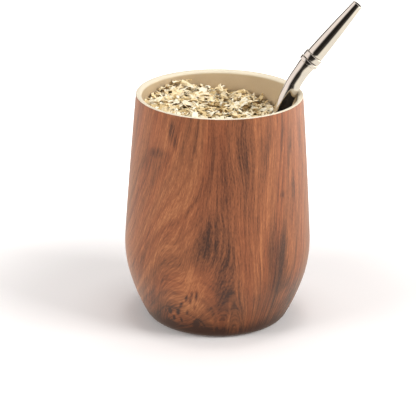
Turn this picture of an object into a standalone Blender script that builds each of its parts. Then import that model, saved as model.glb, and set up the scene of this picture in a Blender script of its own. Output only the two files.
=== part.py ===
"""A mate drink: a stemless tumbler with a wood finish and a pale lining, filled with loose yerba, and a steel
bombilla, the drinking straw of mate, that stands in the leaves and leans on the lip.

Metres, +Z up. The origin is the middle of the flat foot, and the straw leans towards +X."""

import math
import random
from collections import namedtuple

import bmesh
import bpy
from mathutils import Euler, Matrix, Vector

# The cup's outline is four arcs that run into each other: the foot's corner, the bowl, the belly and the side.
# An arc is its radius and the slope, in degrees from level, at which it ends. The side takes what height is left.
CUP_HEIGHT = 0.1114
MOUTH_RADIUS = 0.03935
CORNER = (0.0060, 61.7)
BOWL = (0.1006, 73.3)
BELLY = (0.0554, 93.35)
SIDE_SLOPE = 94.86

# The inside of the cup, whose wall is thinner at the lip than at the belly
FLOOR = 0.0070
INNER_CORNER = (0.0080, 61.7)
INNER_BOWL = (0.0960, 73.3)
INNER_BELLY = (0.0500, 92.0)
INNER_SIDE_SLOPE = 93.4
LINING = 0.0012
GAP = 0.0003

# The lip slopes down inwards from a ridge near its outer edge, and covers a little of the outside
LIP_WIDTH = 0.0027
LIP_DROP = 0.0015
LIP_EDGE = 0.0005
LIP_COVER = 0.0003

CUP_SIDES = 48
OUTER_STEPS = (3, 3, 5, 3)
INNER_STEPS = (2, 2, 3, 2)
LIP_STEPS = 6
LIP_EDGE_STEPS = 3

# The straw's centre line: straight up from the floor, one soft bend at the lip, then straight to the tip
STRAW_SIDE = 0.0021
BEND_START = Vector((0.0310, STRAW_SIDE, 0.1075))
LOWER_TILT = math.radians(20.7)
UPPER_TILT = math.radians(37.7)
BEND_LENGTH = 0.0209
TIP_ALONG = 0.0577

# The straw's tube: wide below, narrower past a shoulder that lies mostly on its low side, and flared a little
# under the collar
TUBE_RADIUS = 0.00375
SHOULDER = (0.0060, 0.0098)
NECK_SHIFT = 0.00025
NECK_RADIUS = 0.0036
FLARE = (0.0150, 0.0206)
FLARE_RADIUS = 0.0039
TUBE_WALL = 0.0005
STRAW_SIDES = 16
BEND_STEPS = 9

# The collar of two rings, and the mouthpiece that closes over the stem's spigot
SPIGOT_RADIUS = 0.00275
SPIGOT_END = 0.0300
RING_BEVEL = 0.00035
LOWER_RING = (0.0210, 0.0230, 0.00475)
UPPER_RING = (0.0233, 0.0263, 0.0046)
MOUTHPIECE_START = 0.0266
MOUTHPIECE_BASE = 0.0040
MOUTHPIECE_TIP = 0.0024
MOUTHPIECE_POWER = 1.4
MOUTHPIECE_STEPS = 6

# The heap: its depth under the lip at the middle, its slope, and the mound behind the middle to the left
HEAP_DEPTH = 0.0094
HEAP_SLOPE = 0.10
HEAP_SAG = 2.2
MOUND_HEIGHT = 0.0019
MOUND_AT = Vector((-0.017, 0.010))
MOUND_REACH = 0.015
HEAP_SIDES = 40
HEAP_RINGS = 5

# The pieces of leaf and stick on the heap
SEED = 7
FLAKES = 100
STICKS = 16
FLAKE_LENGTH = (0.0034, 0.0068)
FLAKE_WIDTH = (0.0020, 0.0038)
FLAKE_THICKNESS = 0.0006
FLAKE_CURL = 0.30
STICK_LENGTH = (0.0055, 0.0120)
STICK_RADIUS = (0.00050, 0.00075)
LONG_STICKS = (
    (Vector((-0.0221, 0.0268, CUP_HEIGHT - 0.0034)), Vector((-0.0090, 0.0286, CUP_HEIGHT - 0.0076)), 0.00080),
    (Vector((0.0013, 0.0325, CUP_HEIGHT - 0.0082)), Vector((0.0098, 0.0303, CUP_HEIGHT - 0.0100)), 0.00055),
)
GOLDEN_ANGLE = math.pi * (3 - math.sqrt(5))

Arc = namedtuple("Arc", "centre_radius centre_height radius low high")


def turned_wall(floor, mouth, arcs, side_slope):
    """The arcs of a wall from its floor to the mouth, each with its centre and the slopes, in radians, at its
    ends. The side arc fills the height that is left, and all of them end at the mouth's radius."""
    slopes = [0.0] + [math.radians(slope) for _, slope in arcs] + [math.radians(side_slope)]
    radii = [radius for radius, _ in arcs]
    rises = [math.cos(low) - math.cos(high) for low, high in zip(slopes, slopes[1:])]
    gains = [math.sin(high) - math.sin(low) for low, high in zip(slopes, slopes[1:])]
    used = sum(radius * rise for radius, rise in zip(radii, rises))
    radii.append((CUP_HEIGHT - floor - used) / rises[-1])
    place_radius = mouth - sum(radius * gain for radius, gain in zip(radii, gains))
    height = floor
    wall = []
    for radius, low, high in zip(radii, slopes, slopes[1:]):
        wall.append(Arc(place_radius - radius * math.sin(low), height + radius * math.cos(low), radius, low, high))
        place_radius += radius * (math.sin(high) - math.sin(low))
        height += radius * (math.cos(low) - math.cos(high))
    return wall


def grown(wall, by):
    """The wall moved outwards by the same distance all over."""
    return [arc._replace(radius=arc.radius + by) for arc in wall]


OUTSIDE = turned_wall(0.0, MOUTH_RADIUS, (CORNER, BOWL, BELLY), SIDE_SLOPE)
INSIDE = turned_wall(FLOOR, MOUTH_RADIUS - LIP_WIDTH, (INNER_CORNER, INNER_BOWL, INNER_BELLY), INNER_SIDE_SLOPE)
LINING_BACK = grown(INSIDE, LINING)
SHELL_INSIDE = grown(LINING_BACK, GAP)
HEAP_SIDE = grown(INSIDE, -GAP)


def floor_of(wall):
    """Height of a wall's flat floor."""
    return wall[0].centre_height - wall[0].radius


def radius_at(wall, height):
    """Radius of a turned wall at a height."""
    for arc in wall:
        if height <= arc.centre_height - arc.radius * math.cos(arc.high) or arc is wall[-1]:
            rise = arc.centre_height - height
            return arc.centre_radius + math.sqrt(max(0.0, arc.radius**2 - rise**2))


def wall_outline(wall, top, steps):
    """Points (radius, height) up a turned wall, from the edge of its floor to the height top."""
    points = []
    for arc, count in zip(wall[:-1], steps):
        for step in range(count):
            slope = arc.low + (arc.high - arc.low) * step / count
            radius = arc.centre_radius + arc.radius * math.sin(slope)
            points.append((radius, arc.centre_height - arc.radius * math.cos(slope)))
    side = wall[-1]
    start = side.centre_height - side.radius * math.cos(side.low)
    for step in range(steps[-1] + 1):
        height = start + (top - start) * step / steps[-1]
        points.append((radius_at(wall, height), height))
    return points


def straw_at(along):
    """A point of the straw's centre line and its tilt there, at a distance along it from the start of the bend."""
    turn = (UPPER_TILT - LOWER_TILT) / BEND_LENGTH
    bend = 1 / turn
    on_bend = min(max(along, 0.0), BEND_LENGTH)
    tilt = LOWER_TILT + turn * on_bend
    across = bend * (math.cos(LOWER_TILT) - math.cos(tilt))
    up = bend * (math.sin(tilt) - math.sin(LOWER_TILT))
    straight = along - on_bend
    across += straight * math.sin(tilt)
    up += straight * math.cos(tilt)
    return BEND_START + Vector((across, 0, up)), tilt


def straw_frame(along):
    """The matrix that sets a piece made along +Z on the straw's centre line, or beside it past the shoulder."""
    point, tilt = straw_at(along)
    aside = Vector((-NECK_SHIFT * eased(*SHOULDER, along), 0, 0))
    return Matrix.Translation(point) @ Matrix.Rotation(tilt, 4, "Y") @ Matrix.Translation(aside)


def eased(low, high, value):
    """From 0 at low to 1 at high, with a soft start and end."""
    share = min(max((value - low) / (high - low), 0.0), 1.0)
    return share * share * (3 - 2 * share)


def stem_radius(along):
    """Outer radius of the stem below the collar."""
    shoulder = (TUBE_RADIUS - NECK_RADIUS) * eased(*SHOULDER, along)
    flare = (FLARE_RADIUS - NECK_RADIUS) * eased(*FLARE, along)
    return TUBE_RADIUS - shoulder + flare


def heap_height(x, y):
    """Height of the heap's core at a place in the cup."""
    mound = math.exp(-((Vector((x, y)) - MOUND_AT).length ** 2) / (2 * MOUND_REACH**2))
    depth = HEAP_DEPTH + HEAP_SLOPE * x + HEAP_SAG * x * x - MOUND_HEIGHT * mound
    return CUP_HEIGHT - depth


def clear_scene():
    for item in list(bpy.data.objects):
        bpy.data.objects.remove(item)


def finish(name, colour, roughness, metallic=0.0):
    """A plain Principled material."""
    material = bpy.data.materials.new(name)
    material.use_nodes = True
    shader = material.node_tree.nodes["Principled BSDF"]
    shader.inputs["Base Color"].default_value = (*colour, 1)
    shader.inputs["Roughness"].default_value = roughness
    shader.inputs["Metallic"].default_value = metallic
    return material


def place(name, bm, material=None, matrix=None):
    """Makes an object of a bmesh, smooth except at its sharp edges."""
    mesh = bpy.data.meshes.new(name)
    bm.to_mesh(mesh)
    bm.free()
    mesh.shade_smooth()
    mesh.set_sharp_from_angle(angle=math.radians(40))
    if material:
        mesh.materials.append(material)
    item = bpy.data.objects.new(name, mesh)
    bpy.context.scene.collection.objects.link(item)
    if matrix:
        item.matrix_world = matrix
    return item


def face_outwards(bm):
    bmesh.ops.recalc_face_normals(bm, faces=bm.faces[:])
    if bm.calc_volume(signed=True) < 0:
        bmesh.ops.reverse_faces(bm, faces=bm.faces[:])


def turned(outline, sides):
    """A bmesh of an outline of (radius, height) turned round Z. A point on the axis closes its end."""
    bm = bmesh.new()
    points = [bm.verts.new((radius, 0, height)) for radius, height in outline]
    edges = [bm.edges.new(pair) for pair in zip(points, points[1:])]
    if outline[0][0] > 0:
        edges.append(bm.edges.new((points[-1], points[0])))
    bmesh.ops.spin(
        bm, geom=points + edges, cent=(0, 0, 0), axis=(0, 0, 1), angle=2 * math.pi, steps=sides, use_merge=True
    )
    bmesh.ops.remove_doubles(bm, verts=bm.verts[:], dist=1e-6)
    face_outwards(bm)
    return bm


def lofted(stations, sides, capped=False):
    """A bmesh through rings on the straw's line, each given as (along, radius): a closed round of them makes a
    tube with a bore, and a capped row of them makes a rod."""
    bm = bmesh.new()
    along, radius = stations[0]
    frame = straw_frame(along)
    made = bmesh.ops.create_circle(bm, segments=sides, radius=radius, matrix=frame, cap_ends=capped)
    ring = made["verts"]
    for along, next_radius in stations[1:] if capped else stations[1:] + stations[:1]:
        edges = [edge for edge in bm.edges if all(vert in ring for vert in edge.verts)]
        made = bmesh.ops.extrude_edge_only(bm, edges=edges)
        ring = [item for item in made["geom"] if isinstance(item, bmesh.types.BMVert)]
        step = straw_frame(along) @ Matrix.Scale(next_radius / radius, 4) @ frame.inverted()
        bmesh.ops.transform(bm, matrix=step, verts=ring)
        frame, radius = straw_frame(along), next_radius
    bmesh.ops.remove_doubles(bm, verts=bm.verts[:], dist=1e-6)
    if capped:
        bmesh.ops.holes_fill(bm, edges=bm.edges[:], sides=sides)
    face_outwards(bm)
    return bm


def make_cup_body():
    """The outer shell, solid in to the lining, with a flat foot."""
    top = CUP_HEIGHT - LIP_COVER - GAP
    outside = wall_outline(OUTSIDE, top, OUTER_STEPS)
    inside = wall_outline(SHELL_INSIDE, top, INNER_STEPS)
    outline = [(0, 0), *outside, *reversed(inside), (0, floor_of(SHELL_INSIDE))]
    return place("cup_body", turned(outline, CUP_SIDES), finish("wood_finish", (0.30, 0.11, 0.05), 0.4))


def make_cup_lining():
    """The lining, with its floor and the lip that covers the shell's top edge."""
    ridge = MOUTH_RADIUS - LIP_EDGE
    quarter = math.pi / 2
    lip = []
    for step in range(LIP_STEPS):
        angle = quarter * step / LIP_STEPS
        slope = (LIP_WIDTH - LIP_EDGE) * math.cos(angle)
        lip.append((ridge - slope, CUP_HEIGHT - LIP_DROP + LIP_DROP * math.sin(angle)))
    end = math.asin((LIP_EDGE - LIP_COVER) / LIP_EDGE)
    for step in range(LIP_EDGE_STEPS + 1):
        angle = quarter - (quarter - end) * step / LIP_EDGE_STEPS
        lip.append((ridge + LIP_EDGE * math.cos(angle), CUP_HEIGHT - LIP_EDGE + LIP_EDGE * math.sin(angle)))
    inside = wall_outline(INSIDE, CUP_HEIGHT - LIP_DROP, INNER_STEPS)[:-1]
    back = wall_outline(LINING_BACK, CUP_HEIGHT - LIP_COVER, INNER_STEPS)
    outline = [(0, FLOOR), *inside, *lip, *reversed(back), (0, floor_of(LINING_BACK))]
    return place("cup_lining", turned(outline, CUP_SIDES), finish("cream_lining", (0.85, 0.75, 0.58), 0.5))


def make_stem():
    """The bent tube of the straw, from the cup's floor to the spigot inside the mouthpiece."""
    low_end = FLOOR + GAP + TUBE_RADIUS * math.sin(LOWER_TILT)
    start = (low_end - BEND_START.z) / math.cos(LOWER_TILT)
    collar = LOWER_RING[0] - GAP
    marks = [start, -0.004, 0.0]
    marks += [collar * step / BEND_STEPS for step in range(1, BEND_STEPS + 1)]
    outside = [(mark, stem_radius(mark)) for mark in marks]
    spigot = [(collar, SPIGOT_RADIUS), (SPIGOT_END, SPIGOT_RADIUS)]
    bore = [(mark, min(radius, SPIGOT_RADIUS + TUBE_WALL) - TUBE_WALL) for mark, radius in outside[3:]]
    bore = [(mark, radius - TUBE_WALL) for mark, radius in outside[:3]] + bore
    spigot_bore = [(SPIGOT_END, SPIGOT_RADIUS - TUBE_WALL), (collar, SPIGOT_RADIUS - TUBE_WALL)]
    stations = outside + spigot + spigot_bore + bore[-2::-1]
    return place("bombilla_stem", lofted(stations, STRAW_SIDES), finish("polished_steel", (0.7, 0.69, 0.67), 0.15, 1.0))


def make_ring(name, start, end, radius):
    """One ring of the collar, round the spigot."""
    bore = SPIGOT_RADIUS + GAP
    length = end - start
    outline = [
        (bore, 0),
        (radius - RING_BEVEL, 0),
        (radius, RING_BEVEL),
        (radius, length - RING_BEVEL),
        (radius - RING_BEVEL, length),
        (bore, length),
    ]
    steel = finish(name + "_steel", (0.7, 0.69, 0.67), 0.15, 1.0)
    return place(name, turned(outline, STRAW_SIDES + 8), steel, straw_frame(start))


def mouthpiece_radius(share):
    """Outer radius of the mouthpiece, full near its base and drawn in towards the tip."""
    return MOUTHPIECE_BASE + (MOUTHPIECE_TIP - MOUTHPIECE_BASE) * share**MOUTHPIECE_POWER


def make_mouthpiece():
    """The tapered tube that the drinker's lips close on."""
    length = TIP_ALONG - MOUTHPIECE_START
    socket = SPIGOT_END + GAP - MOUTHPIECE_START
    shares = [step / MOUTHPIECE_STEPS for step in range(MOUTHPIECE_STEPS + 1)]
    outside = [(mouthpiece_radius(share), length * share) for share in shares]
    bore = [(mouthpiece_radius(share) - TUBE_WALL, length * share) for share in shares[1:]]
    seat = SPIGOT_RADIUS + GAP
    bore = [(seat, 0), (seat, socket)] + [(min(radius, seat), height) for radius, height in bore]
    steel = finish("mouthpiece_steel", (0.7, 0.69, 0.67), 0.15, 1.0)
    return place("bombilla_mouthpiece", turned(outside + bore[::-1], STRAW_SIDES + 4), steel,
                 straw_frame(MOUTHPIECE_START))


def make_heap_core():
    """The leaves that fill the cup, as one body with a smooth uneven top."""
    side = wall_outline(HEAP_SIDE, CUP_HEIGHT - 2 * HEAP_DEPTH, INNER_STEPS)
    top_radius = radius_at(HEAP_SIDE, CUP_HEIGHT - HEAP_DEPTH)
    top = [(top_radius * (1 - ring / HEAP_RINGS), CUP_HEIGHT) for ring in range(HEAP_RINGS + 1)]
    bm = turned([(0, floor_of(HEAP_SIDE)), *side, *top], HEAP_SIDES)
    for vert in bm.verts:
        if vert.co.z > CUP_HEIGHT - HEAP_DEPTH:
            vert.co.z = heap_height(vert.co.x, vert.co.y)
    return place("yerba_heap", bm, finish("dried_leaf", (0.62, 0.48, 0.26), 0.9))


def bent_flake(length, width, curl):
    """A chip of leaf as a bent slab, pointed at one end."""
    bm = bmesh.new()
    bmesh.ops.create_grid(bm, x_segments=2, y_segments=1, size=0.5)
    for vert in bm.verts:
        taper = 0.55 if vert.co.x > 0.25 else 1.0
        vert.co.z = curl * length * (0.25 - vert.co.x * vert.co.x)
        vert.co.x *= length
        vert.co.y *= width * taper
    sheet = bmesh.ops.extrude_face_region(bm, geom=bm.faces[:])
    raised = [item for item in sheet["geom"] if isinstance(item, bmesh.types.BMVert)]
    bmesh.ops.translate(bm, verts=raised, vec=(0, 0, FLAKE_THICKNESS))
    face_outwards(bm)
    return bm


def round_stick(length, radius):
    """A bit of stem as a six-sided rod along X."""
    bm = bmesh.new()
    bmesh.ops.create_cone(
        bm, cap_ends=True, segments=6, radius1=radius, radius2=radius * 0.85, depth=length,
        matrix=Matrix.Rotation(math.pi / 2, 4, "Y"),
    )
    return bm


def straw_distance(point):
    """How far a point in the cup lies from the straw's centre line."""
    direction = Vector((math.sin(LOWER_TILT), 0, math.cos(LOWER_TILT)))
    offset = point - BEND_START
    return (offset - direction * offset.dot(direction)).length


def fits(bm, matrix):
    """True where a piece keeps clear of the lining and of the straw."""
    for vert in bm.verts:
        point = matrix @ vert.co
        if point.xy.length > radius_at(INSIDE, point.z) - 2 * GAP:
            return False
        if straw_distance(point) < TUBE_RADIUS + 2 * GAP:
            return False
    return True


def scatter(collection, count, draw, make, tilt):
    """Lays pieces evenly over the heap on a sunflower's spiral, each moved inwards until it fits."""
    reach = MOUTH_RADIUS - LIP_WIDTH - 2 * GAP
    for index in range(count):
        angle = index * GOLDEN_ANGLE + draw.uniform(-0.3, 0.3)
        radius = reach * math.sqrt((index + 0.5) / count)
        turn = Euler((draw.uniform(-tilt, tilt), draw.uniform(-tilt, tilt), draw.uniform(0, 2 * math.pi)))
        bm = make(draw)
        for share in (1.0, 0.96, 0.92, 0.87, 0.82):
            x, y = radius * share * math.cos(angle), radius * share * math.sin(angle)
            matrix = Matrix.LocRotScale(Vector((x, y, heap_height(x, y))), turn, None)
            if fits(bm, matrix):
                bm.transform(matrix)
                add_piece(collection, bm)
                break
        else:
            bm.free()


def add_piece(collection, bm):
    mesh = bpy.data.meshes.new("piece")
    bm.to_mesh(mesh)
    bm.free()
    collection.objects.link(bpy.data.objects.new("piece", mesh))


def random_flake(draw):
    return bent_flake(draw.uniform(*FLAKE_LENGTH), draw.uniform(*FLAKE_WIDTH), draw.uniform(-0.4, 1) * FLAKE_CURL)


def random_stick(draw):
    return round_stick(draw.uniform(*STICK_LENGTH), draw.uniform(*STICK_RADIUS))


def long_stick(low, high, radius):
    """A stick between two points."""
    bm = round_stick((high - low).length, radius)
    turn = (high - low).to_track_quat("X", "Z")
    bm.transform(Matrix.LocRotScale((low + high) / 2, turn, None))
    return bm


def apply_boolean(item, operation, operand):
    """Joins or cuts an object with a collection or an object, and keeps the result as its mesh."""
    cut = item.modifiers.new(operation, "BOOLEAN")
    cut.operation = operation
    cut.solver = "MANIFOLD"
    if isinstance(operand, bpy.types.Collection):
        cut.operand_type = "COLLECTION"
        cut.collection = operand
    else:
        cut.object = operand
    graph = bpy.context.evaluated_depsgraph_get()
    mesh = bpy.data.meshes.new_from_object(item.evaluated_get(graph))
    item.modifiers.clear()
    item.data = mesh


def keep_largest_body(item):
    """Drops loose scraps, and fills sealed hollows by dropping their walls."""
    bm = bmesh.new()
    bm.from_mesh(item.data)
    left = set(bm.faces)
    bodies = []
    while left:
        body = {left.pop()}
        edge = list(body)
        while edge:
            face = edge.pop()
            near = {other for side in face.edges for other in side.link_faces} & left
            left -= near
            body |= near
            edge += near
        bodies.append(body)
    largest = max(bodies, key=len)
    bmesh.ops.delete(bm, geom=[face for face in bm.faces if face not in largest], context="FACES")
    bm.to_mesh(item.data)
    bm.free()


def make_heap():
    """The heap of yerba, with the pieces that show fused on its core and a channel where the straw stands."""
    heap = make_heap_core()
    draw = random.Random(SEED)
    pieces = bpy.data.collections.new("pieces")
    bpy.context.scene.collection.children.link(pieces)
    for low, high, radius in LONG_STICKS:
        add_piece(pieces, long_stick(low, high, radius))
    scatter(pieces, FLAKES, draw, random_flake, math.radians(28))
    scatter(pieces, STICKS, draw, random_stick, math.radians(12))
    apply_boolean(heap, "UNION", pieces)
    for piece in list(pieces.objects):
        bpy.data.objects.remove(piece)
    bpy.data.collections.remove(pieces)

    below = -1.1 * BEND_START.z / math.cos(LOWER_TILT)
    channel = place("straw_channel", lofted([(below, TUBE_RADIUS + GAP), (0, TUBE_RADIUS + GAP)], STRAW_SIDES, True))
    channel.hide_render = True
    channel.display_type = "WIRE"
    apply_boolean(heap, "DIFFERENCE", channel)
    keep_largest_body(heap)
    return heap


def main():
    clear_scene()
    make_cup_body()
    make_cup_lining()
    make_heap()
    make_stem()
    make_ring("bombilla_lower_ring", *LOWER_RING)
    make_ring("bombilla_upper_ring", *UPPER_RING)
    make_mouthpiece()


main()
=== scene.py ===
"""The looks of a mate drink: a stemless tumbler with a printed wood finish and a cream lining, filled with
loose yerba, and a polished steel bombilla that stands in the leaves and leans on the lip.

Metres, +Z up. The cup's foot is at the origin, the photograph looks along +Y, and the straw leans towards +X.
Materials measure their patterns in millimetres."""

import logging
import math
import random
from dataclasses import dataclass, field
from enum import Enum
from functools import cache
from typing import Iterable, Sequence

import bmesh
import bpy
from mathutils import Euler, Matrix, Vector, noise


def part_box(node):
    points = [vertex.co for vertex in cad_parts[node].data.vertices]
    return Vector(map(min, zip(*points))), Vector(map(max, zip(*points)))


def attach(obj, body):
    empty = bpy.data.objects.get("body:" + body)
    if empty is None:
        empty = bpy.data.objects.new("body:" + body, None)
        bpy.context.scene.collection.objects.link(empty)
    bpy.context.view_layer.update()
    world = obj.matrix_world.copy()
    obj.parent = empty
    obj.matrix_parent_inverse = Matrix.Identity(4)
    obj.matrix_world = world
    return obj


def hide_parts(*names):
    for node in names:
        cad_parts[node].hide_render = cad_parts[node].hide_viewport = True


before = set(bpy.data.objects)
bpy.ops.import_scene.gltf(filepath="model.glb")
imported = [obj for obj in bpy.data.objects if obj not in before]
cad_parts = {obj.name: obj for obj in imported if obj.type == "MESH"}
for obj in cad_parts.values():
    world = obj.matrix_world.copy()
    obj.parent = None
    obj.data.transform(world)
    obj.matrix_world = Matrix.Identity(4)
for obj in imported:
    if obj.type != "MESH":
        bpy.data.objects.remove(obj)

log = logging.getLogger("mate_drink")

BODY = "root"
MM = 0.001
GAP = 0.0003
CUP_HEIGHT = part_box("cup_lining")[1].z
MOUTH_RADIUS = 0.03935
LIP_WIDTH = 0.0027
LIP_COVER = 0.0003
TURN = 2 * math.pi
MIRRORED_SHADE = (0.04, 0.034, 0.03, 1.0)
SHADE_WAY = (0.77, -0.64)
SHADE_ASIDE = (2.0, 5.0)
SHADE_BELOW = (2.4, 3.2)
TONE = "tone"
BORE_SHADE = "inside"
FIGURE_INNER = 0.1
FIGURE_OUTER = 1.5

Point = tuple[float, float]
Colour = tuple[int, int, int]
RingSize = tuple[float, float, float]
Light = tuple[float, float, float, float]
Stops = Sequence[tuple[float, Colour]]
Socket = bpy.types.NodeSocket
Node = bpy.types.Node
NodeTree = bpy.types.NodeTree
Material = bpy.types.Material
Piece = bpy.types.Object
Mesh = bpy.types.Mesh
BMesh = bmesh.types.BMesh
Feed = float | Sequence[float] | Socket
Feeds = dict[int | str, Feed]


def shown(red: int, green: int, blue: int) -> Light:
    """Turns a colour as a screen shows it into the linear one that a shader takes.

    Args:
        red, green, blue: The screen's values, from 0 to 255.

    Returns:
        The linear colour, with an alpha of 1.
    """
    parts = [value / 255 for value in (red, green, blue)]
    linear = [part / 12.92 if part <= 0.04045 else ((part + 0.055) / 1.055) ** 2.4 for part in parts]
    return (*linear, 1.0)


def eased(low: float, high: float, value: float) -> float:
    """From 0 at low to 1 at high, with a soft start and end."""
    share = min(max((value - low) / (high - low), 0.0), 1.0)
    return share * share * (3 - 2 * share)


def blended(low: float, high: float, share: float) -> float:
    """The value at a share of the way from low to high."""
    return low + (high - low) * share


@dataclass(frozen=True)
class Arc:
    """A round stretch of a turned wall, between two slopes in radians from level."""

    centre_radius: float
    centre_height: float
    radius: float
    low: float
    high: float

    def at(self, slope: float) -> Point:
        """The point (radius, height) of the arc where it has a slope."""
        across = self.centre_radius + self.radius * math.sin(slope)
        return across, self.centre_height - self.radius * math.cos(slope)


@dataclass(frozen=True)
class TurnedWall:
    """A wall of arcs that run into each other, from a flat floor up to the cup's mouth.

    Each bend is a radius and the slope in degrees at which it ends. The side takes the height that is left.
    """

    floor: float
    mouth: float
    bends: tuple[Point, ...]
    side_slope: float
    grown: float = 0.0

    def arcs(self) -> list[Arc]:
        """Solves the arcs, so that the last one ends at the mouth's radius."""
        slopes = [0.0, *(math.radians(slope) for _, slope in self.bends), math.radians(self.side_slope)]
        radii = [radius for radius, _ in self.bends]
        spans = list(zip(slopes, slopes[1:]))
        used = sum(radius * (math.cos(low) - math.cos(high)) for radius, (low, high) in zip(radii, spans))
        low, high = spans[-1]
        radii.append((CUP_HEIGHT - self.floor - used) / (math.cos(low) - math.cos(high)))
        widths = [radius * (math.sin(high) - math.sin(low)) for radius, (low, high) in zip(radii, spans)]
        across = self.mouth - sum(widths)
        height = self.floor
        made = []
        for radius, (low, high) in zip(radii, spans):
            middle = (across - radius * math.sin(low), height + radius * math.cos(low))
            made.append(Arc(*middle, radius + self.grown, low, high))
            across += radius * (math.sin(high) - math.sin(low))
            height += radius * (math.cos(low) - math.cos(high))
        return made

    def base(self) -> float:
        """Height of the flat floor."""
        return self.floor - self.grown

    def radius_at(self, height: float) -> float:
        """Radius of the wall at a height."""
        arcs = self.arcs()
        for arc in arcs:
            if height <= arc.at(arc.high)[1] or arc is arcs[-1]:
                rise = arc.centre_height - height
                return arc.centre_radius + math.sqrt(max(0.0, arc.radius**2 - rise**2))

    def outline(self, top: float, pitch: float) -> list[Point]:
        """Points up the wall, from the edge of its floor to a height.

        Args:
            top: The height at which the outline stops.
            pitch: The longest step between points.

        Returns:
            Points as (radius, height).
        """
        points: list[Point] = []
        *arcs, side = self.arcs()
        for arc in arcs:
            count = max(3, math.ceil(arc.radius * (arc.high - arc.low) / pitch))
            points += [arc.at(blended(arc.low, arc.high, step / count)) for step in range(count)]
        start = side.at(side.low)[1]
        count = math.ceil((top - start) / pitch)
        heights = [blended(start, top, step / count) for step in range(count + 1)]
        return points + [(self.radius_at(height), height) for height in heights]


OUTSIDE = TurnedWall(0.0, MOUTH_RADIUS, ((0.0060, 61.7), (0.1006, 73.3), (0.0554, 93.35)), 94.86)
INNER_BENDS = ((0.0080, 61.7), (0.0960, 73.3), (0.0500, 92.0))
LINING_THICKNESS = 0.0012


def inner_wall(grown: float = 0.0) -> TurnedWall:
    """The inside of the cup, moved outwards by a distance."""
    return TurnedWall(0.0070, MOUTH_RADIUS - LIP_WIDTH, INNER_BENDS, 93.4, grown)


class Graph:
    """A short way to add nodes to a material, a world or a node group."""

    def __init__(self, tree: NodeTree) -> None:
        """Keeps the tree that the nodes go into."""
        self.tree = tree

    def add(self, kind: str, feeds: Feeds | None = None, **options: object) -> Node:
        """Adds a node.

        Args:
            kind: The node's type, without its ShaderNode.
            feeds: What each input takes, a value or another node's output.
            options: The node's own settings.

        Returns:
            The node.
        """
        made = self.tree.nodes.new("ShaderNode" + kind)
        for name, value in options.items():
            setattr(made, name, value)
        self.dress(made, feeds or {})
        return made

    def dress(self, node: Node, feeds: Feeds) -> None:
        """Feeds inputs of a node."""
        for name, value in feeds.items():
            self.feed(node.inputs[name], value)

    def feed(self, socket: Socket, value: Feed) -> None:
        """Links an output to a socket, or sets the socket's own value."""
        if isinstance(value, Socket):
            self.tree.links.new(value, socket)
        else:
            socket.default_value = value

    def maths(self, operation: str, *feeds: Feed, clamp: bool = False) -> Socket:
        """The output of a Math node."""
        return self.add("Math", dict(enumerate(feeds)), operation=operation, use_clamp=clamp).outputs[0]

    def joined(self, *parts: Feed) -> Socket:
        """A vector of three values."""
        return self.add("CombineXYZ", dict(enumerate(parts))).outputs[0]

    def parts(self, place: Feed) -> Sequence[Socket]:
        """The three values of a vector."""
        return self.add("SeparateXYZ", {0: place}).outputs

    def noise(self, place: Feed, scale: Feed, detail: float = 2.0) -> Socket:
        """Smooth noise, from 0 to 1, about 0.5."""
        return self.add("TexNoise", {"Vector": place, "Scale": scale, "Detail": detail}).outputs[0]

    def spread(self, value: Feed, low: Feed, high: Feed, start: Feed = 0.0, end: Feed = 1.0) -> Socket:
        """Moves a value from one range softly to another, and keeps it there."""
        feeds = {0: value, 1: low, 2: high, 3: start, 4: end}
        return self.add("MapRange", feeds, interpolation_type="SMOOTHSTEP").outputs[0]

    def ramp(self, value: Feed, stops: Sequence[tuple[float, Light]]) -> Socket:
        """The colour at a value between stops of (place, linear colour)."""
        made = self.add("ValToRGB", {0: value})
        elements = made.color_ramp.elements
        while len(elements) < len(stops):
            elements.new(1.0)
        for element, (place, colour) in zip(elements, stops):
            element.position = place
            element.color = colour
        return made.outputs[0]

    def tinted(self, value: Feed, stops: Stops) -> Socket:
        """The colour at a value between stops of (place, colour as a screen shows it)."""
        return self.ramp(value, [(place, shown(*colour)) for place, colour in stops])

    def mixed(self, share: Feed, first: Feed, second: Feed, mode: str = "MIX") -> Socket:
        """Two colours mixed by a share."""
        return self.add("Mix", {0: share, 6: first, 7: second}, data_type="RGBA", blend_type=mode).outputs[2]

    def bump(self, height: Feed, strength: float, depth: float) -> Socket:
        """The surface's normal, bent by a height whose depth is in millimetres."""
        return self.add("Bump", {"Strength": strength, "Distance": depth * MM, "Height": height}).outputs[0]

    def attribute(self, name: str) -> Socket:
        """A value that the piece's points carry."""
        return self.add("Attribute", attribute_name=name, attribute_type="GEOMETRY").outputs["Fac"]

    def place_in_mm(self) -> Socket:
        """The shaded point in the object's own frame, in millimetres."""
        place = self.add("TexCoord").outputs["Object"]
        return self.add("VectorMath", {0: place, "Scale": 1 / MM}, operation="SCALE").outputs[0]


class SharedGroup:
    """A node group with named inputs that puts out one value."""

    def __init__(self, name: str, values: dict[str, float], *places: str) -> None:
        """Makes the group's sockets.

        Args:
            name: The group's name.
            values: The inputs that take a value, and what each starts at.
            places: The inputs that take a place.
        """
        self.tree = bpy.data.node_groups.new(name, "ShaderNodeTree")
        sockets = self.tree.interface
        for label in places:
            sockets.new_socket(name=label, in_out="INPUT", socket_type="NodeSocketVector")
        for label, value in values.items():
            socket = sockets.new_socket(name=label, in_out="INPUT", socket_type="NodeSocketFloat")
            socket.default_value = value
        sockets.new_socket(name="Value", in_out="OUTPUT", socket_type="NodeSocketFloat")
        self.graph = Graph(self.tree)
        self.inside = self.tree.nodes.new("NodeGroupInput").outputs
        self.result = self.tree.nodes.new("NodeGroupOutput").inputs["Value"]

    def finish(self, value: Socket) -> NodeTree:
        """Lets the group put out a value."""
        self.graph.feed(self.result, value)
        return self.tree


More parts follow.
